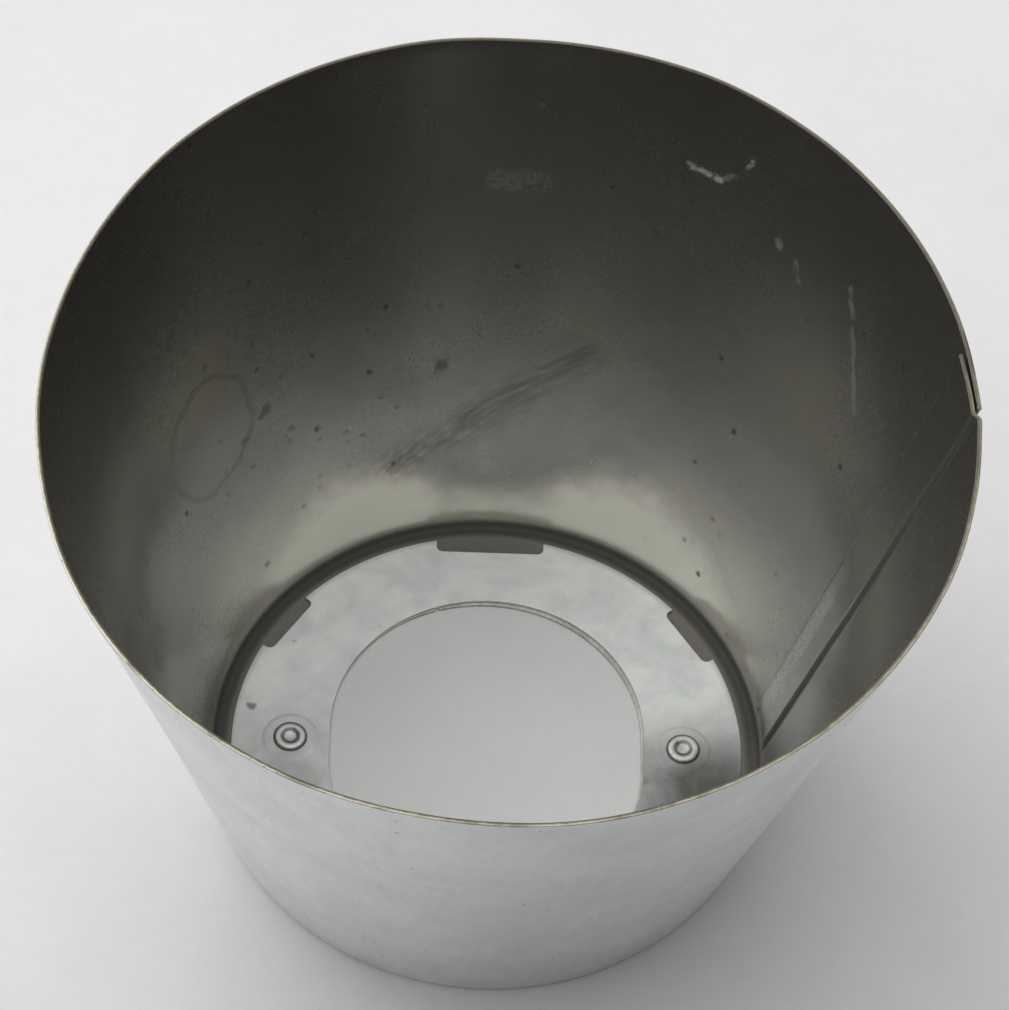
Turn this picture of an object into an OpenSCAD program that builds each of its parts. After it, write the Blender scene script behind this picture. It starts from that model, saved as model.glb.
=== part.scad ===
// Canning funnel made from sheet tin: a tapered cup whose lower edge is turned in as a
// flange, a notched ring soldered on that flange, and a split collar riveted under the ring.
// Millimetres, +Z up. The origin is on the axis, in the plane the funnel stands on.
// The lap seam faces +X, and the wide notches of the ring face +Y and -Y.

/* [Cup] */
// Outside diameter at the open rim
rim_d = 130; // [115:1:160]
// Outside diameter at the foot, where the wall would meet the ground
base_d = 84; // [80:1:102]
// Height from the ground to the rim
funnel_h = 87; // [70:1:110]
// Thickness of every sheet
sheet_t = 0.5; // [0.4:0.05:0.7]
// Outside radius of the bend at the foot
corner_r = 1.5; // [1:0.1:2.5]
// Reach of the flange inwards from the foot
flange_w = 7.5; // [6:0.5:10]

/* [Lap seam] */
// Width of the lap, measured round the rim
lap_w = 10; // [6:0.5:14]
// Width of the step that takes the inner layer under the outer one
joggle_w = 1.4; // [1:0.1:2]
// Width of the open groove at the end of the outer layer
groove_w = 0.4; // [0.3:0.05:0.6]
// Solder thickness between the two layers
lap_gap = 0.12; // [0.08:0.01:0.2]
// Height of the seam's lower end above the ground
lap_start = 3; // [2.5:0.5:6]
// Length below the rim that the solder doesn't reach
bare_rim = 5; // [2:0.5:10]

/* [Ring] */
// Gap between the ring's edge and the foot of the wall
ring_gap = 2.4; // [1:0.1:3]
// Width of the ring's opening, side to side
hole_w = 48.2; // [40:0.2:50]
// How much longer the opening is front to back than side to side
hole_extra = 5.4; // [0:0.2:8]
// Width of the two notches at the front and the back
wide_notch_w = 17; // [10:0.5:20]
// Depth of the two notches at the front and the back
wide_notch_d = 3; // [1:0.1:3.5]
// Width of the four side notches
side_notch_w = 11; // [8:0.5:14]
// Depth of the four side notches
side_notch_d = 2; // [1:0.1:3]
// Angle from a wide notch to the side notch next to it
side_notch_angle = 56; // [45:1:62]
// Corner radius inside a notch
notch_r = 1; // [0.5:0.1:1.5]

/* [Collar] */
// Gap between the collar's edge and the flange
collar_gap = 1.4; // [1:0.1:2]
// How far the collar's opening is off centre, side to side
collar_shift_x = 0.4; // [0:0.1:0.6]
// How far the collar's opening is off centre, front to back
collar_shift_y = 0.5; // [0:0.1:0.8]
// Angle of the collar's butt joint from the seam
joint_angle = 108; // [95:1:130]
// Width of the open butt joint
joint_w = 0.6; // [0.4:0.1:1]

/* [Rivets] */
// Diameter of the rivet shank
rivet_d = 3; // [2:0.1:3.6]
// Diameter of the rivet head
head_d = 5.2; // [4:0.1:5.6]
// Height of the rivet head
head_h = 0.5; // [0.4:0.05:0.8]
// Diameter of the dimple in the rivet head
dimple_d = 2.2; // [1.5:0.1:2.6]
// Distance from the rivet's centre to the collar's outer edge
rivet_edge = 3; // [2.8:0.1:4]
// Radial clearance of the rivet in its holes
rivet_clear = 0.04; // [0.02:0.01:0.1]
// Diameter of the raised pad round a rivet
pad_d = 9; // [7:0.5:10]
// Height of the raised pad round a rivet
pad_h = 0.25; // [0.1:0.05:0.4]

/* [Hidden] */
$fn = 180;

rim_r = rim_d / 2;
base_r = base_d / 2;
// Lean of the wall from vertical, and the sheet's width measured level
lean = atan((rim_r - base_r) / funnel_h);
wall_w = sheet_t / cos(lean);
flange_r = base_r - flange_w;
// Centre of the bend at the foot, tangent to the ground and to the wall's outside
bend_x = base_r - corner_r * (1 - sin(lean)) / cos(lean);
bend_steps = 8;

ring_r = base_r - sheet_t - ring_gap;
collar_r = flange_r - collar_gap;
rivet_x = collar_r - rivet_edge;
ring_top = 2 * sheet_t;
pad_top = ring_top + pad_h;

// Widths round the rim turned into angles
lap_a = lap_w / rim_r * 180 / PI;
joggle_a = joggle_w / rim_r * 180 / PI;
groove_a = groove_w / rim_r * 180 / PI;
skin = 0.1;
overrun = 0.3;
overrun_a = overrun / rim_r * 180 / PI;
solder_margin = 0.3;
fillet_w = 0.7;
cut = 1;

function outer_at(z) = base_r + (rim_r - base_r) * z / funnel_h;
function bend(r) = [
    for (i = [0 : bend_steps])
        let (a = -90 + (90 - lean) * i / bend_steps)
        [bend_x + r * cos(a), corner_r + r * sin(a)]
];
function reversed(list) = [for (i = [len(list) - 1 : -1 : 0]) list[i]];

// Section of the cup: flange, bend and wall, one sheet thick
module cup_section() {
    polygon(concat(
        [[flange_r, 0]],
        bend(corner_r),
        [[rim_r, funnel_h], [rim_r - wall_w, funnel_h]],
        reversed(bend(corner_r - sheet_t)),
        [[flange_r, sheet_t]]
    ));
}

// Section of a strip of the wall, set in from the outside by "inset"
module wall_strip(inset, thick, z_low, z_high) {
    polygon([
        [outer_at(z_low) - inset, z_low],
        [outer_at(z_high) - inset, z_high],
        [outer_at(z_high) - inset - thick, z_high],
        [outer_at(z_low) - inset - thick, z_low]
    ]);
}

// Sector of a turned section, from one angle to another
module sector(from_a, to_a) {
    rotate([0, 0, from_a])
        rotate_extrude(angle = to_a - from_a)
            children();
}

// Round-ended opening, longer along Y
module oblong(w, extra) {
    square([w, max(extra, 0.01)], center = true);
    for (side = [-1, 1])
        translate([0, side * extra / 2])
            circle(d = w);
}

// Rectangle with rounded inner corners, reaching outwards from y = 0
module notch(w, reach) {
    translate([-w / 2 + notch_r, 0])
        square([w - 2 * notch_r, reach]);
    translate([-w / 2, notch_r])
        square([w, reach - notch_r]);
    for (side = [-1, 1])
        translate([side * (w / 2 - notch_r), notch_r])
            circle(r = notch_r);
}

// Places a child at both rivets
module at_rivets() {
    for (side = [-1, 1])
        translate([side * rivet_x, 0, 0])
            children();
}

module body_shell() {
    inner = wall_w + lap_gap;
    color("silver") {
        difference() {
            rotate([0, 0, 180])
                rotate_extrude()
                    cup_section();
            // room for the step and for the open groove beside it
            sector(-joggle_a, groove_a)
                translate([flange_r, lap_start])
                    square([rim_r, funnel_h]);
        }
        // the step inwards, running a little into what it joins
        sector(-joggle_a - overrun_a, 0)
            wall_strip(skin, inner + wall_w - 2 * skin, lap_start - overrun, funnel_h - skin);
        // the inner layer of the lap
        sector(-overrun_a, lap_a)
            wall_strip(inner, wall_w, lap_start, funnel_h);
    }
}

module base_ring() {
    color("gainsboro")
        difference() {
            union() {
                translate([0, 0, sheet_t])
                    linear_extrude(sheet_t)
                        difference() {
                            circle(r = ring_r);
                            oblong(hole_w, hole_extra);
                            for (a = [0, 180])
                                rotate(a)
                                    translate([0, ring_r - wide_notch_d])
                                        notch(wide_notch_w, wide_notch_d + cut);
                            for (a = [0, 180], side = [-1, 1])
                                rotate(a + side * side_notch_angle)
                                    translate([0, ring_r - side_notch_d])
                                        notch(side_notch_w, side_notch_d + cut);
                        }
                at_rivets()
                    translate([0, 0, ring_top])
                        cylinder(h = pad_h, d = pad_d);
            }
            at_rivets()
                cylinder(h = pad_top + cut, r = rivet_d / 2 + rivet_clear);
        }
}

module collar_ring() {
    color("darkgray")
        linear_extrude(sheet_t)
            difference() {
                circle(r = collar_r);
                translate([-collar_shift_x, -collar_shift_y])
                    oblong(hole_w, hole_extra);
                rotate(joint_angle)
                    translate([0, -joint_w / 2])
                        square([collar_r + cut, joint_w]);
                for (side = [-1, 1])
                    translate([side * rivet_x, 0])
                        circle(r = rivet_d / 2 + rivet_clear);
            }
}

module rivets() {
    color("slategray")
        at_rivets()
            difference() {
                union() {
                    cylinder(h = pad_top + head_h / 2, d = rivet_d);
                    translate([0, 0, pad_top])
                        cylinder(h = head_h, d = head_d);
                }
                translate([0, 0, pad_top + head_h * 0.4])
                    cylinder(h = head_h, d = dimple_d);
            }
}

module seam_solder() {
    low = lap_start + solder_margin;
    high = funnel_h - bare_rim;
    color("lightslategray") {
        // film between the two layers
        sector(0, lap_a - groove_a)
            wall_strip(wall_w, lap_gap, low, high);
        // fill of the groove at the end of the outer layer
        sector(0, groove_a)
            wall_strip(0, wall_w, low, high);
    }
}

module base_solder() {
    color("lightslategray")
        rotate_extrude()
            polygon([
                [flange_r - fillet_w, sheet_t],
                [flange_r, sheet_t * 0.3],
                [flange_r, sheet_t]
            ]);
}

body_shell();
base_ring();
collar_ring();
rivets();
seam_solder();
base_solder();
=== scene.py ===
"""Canning funnel of worn sheet tin: a tapered cup, a notched ring, a split collar and two rivets."""

from __future__ import annotations

import logging
import math
from collections.abc import Callable
from dataclasses import dataclass, field
from enum import Enum
from functools import reduce

import bmesh
import bpy
from mathutils import Matrix, Vector

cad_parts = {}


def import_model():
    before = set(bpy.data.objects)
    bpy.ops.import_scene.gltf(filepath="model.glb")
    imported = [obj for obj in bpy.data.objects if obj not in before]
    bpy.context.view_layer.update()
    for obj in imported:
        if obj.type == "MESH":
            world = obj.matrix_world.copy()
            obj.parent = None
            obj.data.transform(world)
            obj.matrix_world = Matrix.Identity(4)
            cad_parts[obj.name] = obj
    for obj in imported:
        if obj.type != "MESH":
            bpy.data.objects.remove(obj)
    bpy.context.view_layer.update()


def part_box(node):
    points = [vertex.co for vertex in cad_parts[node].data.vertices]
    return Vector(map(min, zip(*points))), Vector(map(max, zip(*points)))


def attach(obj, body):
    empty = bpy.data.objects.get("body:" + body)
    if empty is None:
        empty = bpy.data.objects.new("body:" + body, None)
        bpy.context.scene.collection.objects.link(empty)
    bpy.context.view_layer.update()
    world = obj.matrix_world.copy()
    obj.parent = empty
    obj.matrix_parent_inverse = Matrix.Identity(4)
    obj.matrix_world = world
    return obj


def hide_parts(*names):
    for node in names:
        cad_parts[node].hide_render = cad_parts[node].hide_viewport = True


log = logging.getLogger("canning_funnel")

MM = 0.001
ROOT = "root"
SMOOTH_BELOW = 40
Point = tuple[float, float, float]


class Pick(Enum):
    """What a selection in edit mode is made of."""

    VERTS = "VERT"
    EDGES = "EDGE"
    FACES = "FACE"


class Cut(Enum):
    """How one solid is combined with another."""

    AWAY = "DIFFERENCE"
    ON = "UNION"


# ------------------------------------------------------------------- bench work


def clear_bench() -> None:
    """Leave edit mode and deselect every object."""
    if bpy.context.object and bpy.context.object.mode != "OBJECT":
        bpy.ops.object.mode_set(mode="OBJECT")
    bpy.ops.object.select_all(action="DESELECT")


def take(obj: bpy.types.Object) -> None:
    """Make one object the only selected one and the active one."""
    clear_bench()
    obj.select_set(True)
    bpy.context.view_layer.objects.active = obj


class Bench:
    """One mesh in edit mode, shaped as by hand. Sizes are in millimetres."""

    def __init__(self, name: str) -> None:
        """Take the newest object onto the bench.

        Args:
            name: The piece's name.
        """
        self.obj = bpy.context.object
        self.obj.name = name
        self.obj.data.name = name
        bpy.ops.object.transform_apply(location=True, rotation=True, scale=True)
        bpy.ops.object.mode_set(mode="EDIT")
        bpy.ops.mesh.select_mode(type=Pick.VERTS.value)

    @classmethod
    def again(cls, obj: bpy.types.Object) -> Bench:
        """Take a piece back onto the bench."""
        take(obj)
        return cls(obj.name)

    @classmethod
    def point(cls, name: str, at: Point) -> Bench:
        """Start a piece with a single point.

        Args:
            name: The piece's name.
            at: Where the point is.

        Returns:
            The bench, with the point selected.
        """
        clear_bench()
        bpy.ops.mesh.primitive_plane_add(size=MM)
        bench = cls(name)
        bpy.ops.mesh.merge(type="CENTER")
        bench.move(at)
        return bench

    @classmethod
    def disc(cls, name: str, radius: float, at: Point, count: int = 180) -> Bench:
        """Start a piece with a flat filled disc.

        Args:
            name: The piece's name.
            radius: The disc's radius.
            at: Its centre.
            count: Its corners.

        Returns:
            The bench, with the disc selected.
        """
        clear_bench()
        bpy.ops.mesh.primitive_circle_add(
            vertices=count, radius=radius * MM, fill_type="NGON", location=tuple(v * MM for v in at)
        )
        return cls(name)

    def select(self, test: Callable[[Vector, int], bool], pick: Pick = Pick.VERTS) -> None:
        """Select the elements whose middle passes a test.

        Args:
            test: Takes the middle in millimetres and the element's number.
            pick: Kind of element.
        """
        bpy.ops.mesh.select_mode(type=pick.value)
        bpy.ops.mesh.select_all(action="DESELECT")
        cage = bmesh.from_edit_mesh(self.obj.data)
        if pick is Pick.VERTS:
            for vert in cage.verts:
                vert.select = test(vert.co / MM, vert.index)
        elif pick is Pick.EDGES:
            for edge in cage.edges:
                edge.select = test((edge.verts[0].co + edge.verts[1].co) / 2 / MM, edge.index)
        else:
            for face in cage.faces:
                face.select = test(face.calc_center_median() / MM, face.index)
        cage.select_flush_mode()
        bmesh.update_edit_mesh(self.obj.data)

    def hide_all_but(self, test: Callable[[int], bool]) -> None:
        """Hide the points whose number fails a test, so that a soft move leaves them."""
        self.select(lambda co, i: test(i))
        bpy.ops.mesh.hide(unselected=True)

    def selected(self) -> list[int]:
        """Numbers of the selected points."""
        return [v.index for v in bmesh.from_edit_mesh(self.obj.data).verts if v.select]

    def count(self) -> int:
        """How many points the mesh has."""
        return len(bmesh.from_edit_mesh(self.obj.data).verts)

    def move(self, by: Point, soft: float = 0.0) -> None:
        """Move the selection, and with a reach its surroundings too.

        Args:
            by: The move.
            soft: Reach of the soft falloff; 0 for none.
        """
        reach = {"use_proportional_edit": True, "proportional_size": soft * MM} if soft else {}
        bpy.ops.transform.translate(value=tuple(v * MM for v in by), **reach)

    def scale(self, by: Point, centre: Point = (0, 0, 0)) -> None:
        """Scale the selection about a centre."""
        bpy.ops.transform.resize(value=by, center_override=tuple(v * MM for v in centre))

    def turn(self, degrees: float, centre: Point = (0, 0, 0)) -> None:
        """Turn the selection anticlockwise, seen from above, about an upright axis."""
        middle = tuple(v * MM for v in centre)
        bpy.ops.transform.rotate(value=-math.radians(degrees), orient_axis="Z", center_override=middle)

    def extrude(self, by: Point) -> None:
        """Extrude the selection by a move."""
        bpy.ops.mesh.extrude_region_move(TRANSFORM_OT_translate={"value": tuple(v * MM for v in by)})

    def spin(self, degrees: float, steps: int) -> None:
        """Spin the selection anticlockwise, seen from above, about the Z axis."""
        bpy.ops.mesh.spin(steps=steps, angle=-math.radians(degrees), center=(0, 0, 0), axis=(0, 0, 1))

    def weld(self, reach: float = 0.01) -> None:
        """Merge the points of the whole mesh that lie within reach, and turn its faces outwards."""
        bpy.ops.mesh.select_all(action="SELECT")
        bpy.ops.mesh.remove_doubles(threshold=reach * MM)
        bpy.ops.mesh.normals_make_consistent(inside=False)

    def done(self) -> bpy.types.Object:
        """Leave edit mode and give back the object."""
        bpy.ops.object.mode_set(mode="OBJECT")
        return self.obj


def finish_with(obj: bpy.types.Object, kind: str, **settings: object) -> None:
    """Add a modifier and apply it.

    Args:
        obj: The piece.
        kind: The modifier's type.
        settings: Its settings.
    """
    take(obj)
    modifier = obj.modifiers.new(kind.title(), kind)
    for key, value in settings.items():
        setattr(modifier, key, value)
    bpy.ops.object.modifier_apply(modifier=modifier.name)


def combine(obj: bpy.types.Object, tools: list[bpy.types.Object], cut: Cut) -> None:
    """Cut tools away from a piece or fuse them on, and throw the tools out.

    Args:
        obj: The piece.
        tools: The other solids.
        cut: How they are combined.
    """
    for tool in tools:
        finish_with(obj, "BOOLEAN", operation=cut.value, object=tool, solver="EXACT")
        bpy.data.objects.remove(tool, do_unlink=True)


def soften(obj: bpy.types.Object, width: float, segments: int = 2, angle: float = 35.0) -> None:
    """Round a piece's sharp edges and shade it.

    Args:
        obj: The piece.
        width: Width of the rounding in millimetres.
        segments: Facets across it.
        angle: Edges sharper than this are rounded, in degrees.
    """
    finish_with(
        obj,
        "BEVEL",
        width=width * MM,
        segments=segments,
        limit_method="ANGLE",
        angle_limit=math.radians(angle),
        use_clamp_overlap=True,
    )
    take(obj)
    bpy.ops.object.shade_smooth_by_angle(angle=math.radians(SMOOTH_BELOW))
    finish_with(obj, "WEIGHTED_NORMAL", keep_sharp=True, weight=60)


def ripple(obj: bpy.types.Object, size: float, depth: float, groups: str = "") -> None:
    """Give thin sheet its slight unevenness.

    Args:
        obj: The piece.
        size: Size of the swells in millimetres.
        depth: Their height in millimetres.
        groups: Vertex group that holds them, if any.
    """
    texture = bpy.data.textures.new(f"{obj.name}_swell", "CLOUDS")
    texture.noise_scale = size * MM
    texture.noise_depth = 1
    finish_with(obj, "DISPLACE", texture=texture, texture_coords="LOCAL", strength=depth * MM, mid_level=0.5,
                vertex_group=groups)


# ---------------------------------------------------------------- shader maths


class Value:
    """A number socket that Python arithmetic turns into Math nodes."""

    def __init__(self, paint: Paint, socket: bpy.types.NodeSocket) -> None:
        """Wrap a socket.

        Args:
            paint: The material's tree.
            socket: The output socket.
        """
        self.paint = paint
        self.socket = socket

    def math(self, operation: str, *others: Value | float, first: Value | float | None = None) -> Value:
        """Add a Math node.

        Args:
            operation: The node's operation.
            others: Inputs after the first.
            first: The first input, this value by default.

        Returns:
            The result.
        """
        inputs = [self if first is None else first, *others]
        return self.paint.number("ShaderNodeMath", {"operation": operation}, dict(enumerate(inputs)))

    def __add__(self, other: Value | float) -> Value:
        """Sum."""
        return self.math("ADD", other)

    def __radd__(self, other: float) -> Value:
        """Sum, reflected."""
        return self.math("ADD", other)

    def __sub__(self, other: Value | float) -> Value:
        """Difference."""
        return self.math("SUBTRACT", other)

    def __rsub__(self, other: float) -> Value:
        """Difference, reflected."""
        return self.math("SUBTRACT", self, first=other)

    def __mul__(self, other: Value | float) -> Value:
        """Product."""
        return self.math("MULTIPLY", other)

    def __rmul__(self, other: float) -> Value:
        """Product, reflected."""
        return self.math("MULTIPLY", other)

    def __abs__(self) -> Value:
        """Size without its sign."""
        return self.math("ABSOLUTE")

    def most(self, other: Value | float) -> Value:
        """The larger of two."""
        return self.math("MAXIMUM", other)

    def least(self, other: Value | float) -> Value:
        """The smaller of two."""
        return self.math("MINIMUM", other)

    def held(self) -> Value:
        """Kept between 0 and 1."""
        return self.most(0.0).least(1.0)

    def ease(self, low: float, high: float) -> Value:
        """Smooth step, 0 at low and 1 at high, where low may be the larger.

        Args:
            low: What gives 0.
            high: What gives 1.

        Returns:
            The eased value.
        """
        ends = (low, high, 0.0, 1.0) if low < high else (high, low, 1.0, 0.0)
        names = ("From Min", "From Max", "To Min", "To Max")
        sockets = {"Value": self} | dict(zip(names, ends))
        return self.paint.number("ShaderNodeMapRange", {"interpolation_type": "SMOOTHSTEP"}, sockets)


class Paint:
    """Builds one material's nodes."""

    def __init__(self, name: str, tree: bpy.types.NodeTree | None = None) -> None:
        """Start an empty material, or carry on in a tree that is there.

        Args:
            name: The material's name.
            tree: The tree, if it isn't a new material's.
        """
        self.tree = tree
        if tree is None:
            self.material = bpy.data.materials.new(name)
            self.material.use_nodes = True
            self.tree = self.material.node_tree
            self.tree.nodes.clear()
        self.coords = self.add("ShaderNodeTexCoord", {}, {}).outputs["Object"]

    def add(self, kind: str, settings: dict[str, object], sockets: dict[object, object]) -> bpy.types.Node:
        """Add a node, its settings first and its sockets after.

        Args:
            kind: The node's type.
            settings: Its attributes.
            sockets: Values and links, by socket name or number.

        Returns:
            The node.
        """
        node = self.tree.nodes.new(kind)
        for key, value in settings.items():
            setattr(node, key, value)
        for key, value in sockets.items():
            if isinstance(value, Value):
                value = value.socket
            if isinstance(value, bpy.types.NodeSocket):
                self.tree.links.new(value, node.inputs[key])
            else:
                node.inputs[key].default_value = value
        return node

    def number(self, kind: str, settings: dict[str, object], sockets: dict[object, object]) -> Value:
        """Add a node and wrap its first output."""
        return Value(self, self.add(kind, settings, sockets).outputs[0])

    def place(self, turn: Point = (0, 0, 0), size: Point = (1, 1, 1)) -> bpy.types.NodeSocket:
        """Object coordinates as seen from a box set on the piece.

        Args:
            turn: The box's angles in degrees.
            size: Its size along each of its axes.

        Returns:
            The coordinates in the box.
        """
        node = self.add(
            "ShaderNodeMapping",
            {"vector_type": "TEXTURE"},
            {
                "Vector": self.coords,
                "Rotation": tuple(math.radians(v) for v in turn),
                "Scale": size,
            },
        )
        return node.outputs[0]

    def noise(
        self, size: float, detail: float = 3.0, rough: float = 0.55, warp: float = 0.0, where: object = None
    ) -> Value:
        """Fractal noise, centred on 0.5.

        Args:
            size: Size of the features in millimetres.
            detail: Octaves.
            rough: Weight of the finer octaves.
            warp: Distortion.
            where: Coordinates, the piece's own by default.

        Returns:
            The noise.
        """
        sockets = {
            "Vector": where or self.coords,
            "Scale": 1 / (size * MM),
            "Detail": detail,
            "Roughness": rough,
            "Distortion": warp,
        }
        return self.number("ShaderNodeTexNoise", {}, sockets)

    def specks(self, size: float, share: float, where: object = None) -> Value:
        """Scattered round specks.

        Args:
            size: Mean distance between them in millimetres.
            share: How far each reaches, as a share of that.
            where: Coordinates, the piece's own by default.

        Returns:
            1 in a speck's middle and 0 between specks.
        """
        sockets = {"Vector": where or self.coords, "Scale": 1 / (size * MM), "Randomness": 1.0}
        return self.number("ShaderNodeTexVoronoi", {}, sockets).ease(share, share * 0.35)

    def wobbly(self, size: float, depth: float) -> bpy.types.NodeSocket:
        """Object coordinates shaken by noise.

        Args:
            size: Size of the noise in millimetres.
            depth: How far it moves a point, in millimetres.

        Returns:
            The shaken coordinates.
        """
        sockets = {"Vector": self.coords, "Scale": 1 / (size * MM), "Detail": 2.0}
        shake = self.add("ShaderNodeTexNoise", {}, sockets)
        move = self.add(
            "ShaderNodeVectorMath",
            {"operation": "MULTIPLY_ADD"},
            {0: shake.outputs["Color"], 1: (2 * depth * MM,) * 3, 2: (-depth * MM,) * 3},
        )
        return self.vector("ADD", self.coords, move.outputs[0])

    def vector(self, operation: str, *inputs: object) -> bpy.types.NodeSocket:
        """Add a Vector Math node.

        Args:
            operation: Its operation.
            inputs: Its inputs.

        Returns:
            The vector.
        """
        return self.add("ShaderNodeVectorMath", {"operation": operation}, dict(enumerate(inputs))).outputs[0]

    def measure(self, operation: str, *inputs: object) -> Value:
        """Add a Vector Math node that gives a number.

        Args:
            operation: DISTANCE, LENGTH or DOT_PRODUCT.
            inputs: Its inputs.

        Returns:
            The number.
        """
        node = self.add("ShaderNodeVectorMath", {"operation": operation}, dict(enumerate(inputs)))
        return Value(self, node.outputs["Value"])

    def away(self, centre: Point, where: object = None) -> Value:
        """Distance from a point.

        Args:
            centre: The point in millimetres.
            where: Coordinates, the piece's own by default.

        Returns:
            The distance in millimetres.
        """
        return self.measure("DISTANCE", where or self.coords, tuple(v * MM for v in centre)) * (1 / MM)

    def stroke(self, start: Point, end: Point, where: object = None) -> Value:
        """Distance from a straight line between two points.

        Args:
            start: One end in millimetres.
            end: The other end in millimetres.
            where: Coordinates, the piece's own by default.

        Returns:
            The distance in millimetres.
        """
        first = Vector(start) * MM
        reach = Vector(end) * MM - first
        offset = self.vector("SUBTRACT", where or self.coords, tuple(first))
        along = (self.measure("DOT_PRODUCT", offset, tuple(reach)) * (1 / reach.length_squared)).held()
        nearest = self.add("ShaderNodeVectorMath", {"operation": "SCALE"}, {0: tuple(reach), "Scale": along})
        return self.measure("DISTANCE", offset, nearest.outputs[0]) * (1 / MM)

    def part(self, axis: int, where: object = None) -> Value:
        """One coordinate in millimetres.

        Args:
            axis: 0, 1 or 2.
            where: Coordinates, the piece's own by default.

        Returns:
            The coordinate.
        """
        node = self.add("ShaderNodeSeparateXYZ", {}, {0: where or self.coords})
        return Value(self, node.outputs[axis]) * (1 / MM)

    def radius(self) -> Value:
        """Distance from the funnel's axis in millimetres."""
        flat = self.vector("MULTIPLY", self.coords, (1.0, 1.0, 0.0))
        return self.measure("LENGTH", flat) * (1 / MM)

    def mix(self, factor: Value | float, below: object, above: object) -> bpy.types.NodeSocket:
        """Blend two colours.

        Args:
            factor: 0 shows the one below, 1 the one above.
            below: Colour or socket.
            above: Colour or socket.

        Returns:
            The colour.
        """
        node = self.add("ShaderNodeMix", {"data_type": "RGBA"}, {0: factor, 6: below, 7: above})
        return node.outputs[2]

    def bump(self, height: Value, depth: float) -> bpy.types.NodeSocket:
        """Turn a height into a normal.

        Args:
            height: The height, 0 to 1.
            depth: What 1 stands for, in millimetres.

        Returns:
            The normal.
        """
        return self.add("ShaderNodeBump", {}, {"Height": height, "Distance": depth * MM}).outputs[0]

    def close(self, colour: object, rough: object, metal: object, normal: object) -> bpy.types.Material:
        """Close the tree with one shader.

        Args:
            colour: Base colour.
            rough: Roughness.
            metal: Metallic.
            normal: Normal.

        Returns:
            The material.
        """
        sockets = {"Base Color": colour, "Roughness": rough, "Metallic": metal, "Normal": normal}
        shader = self.add("ShaderNodeBsdfPrincipled", {}, sockets)
        self.add("ShaderNodeOutputMaterial", {}, {"Surface": shader.outputs[0]})
        return self.material


def strongest(masks: list[Value]) -> Value:
    """The largest of several values at each place."""
    return reduce(Value.most, masks)


def rgb(red: float, green: float, blue: float) -> tuple[float, float, float, float]:
    """A linear colour with full alpha."""
    return (red, green, blue, 1.0)


# --------------------------------------------------------------------- finishes


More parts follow.
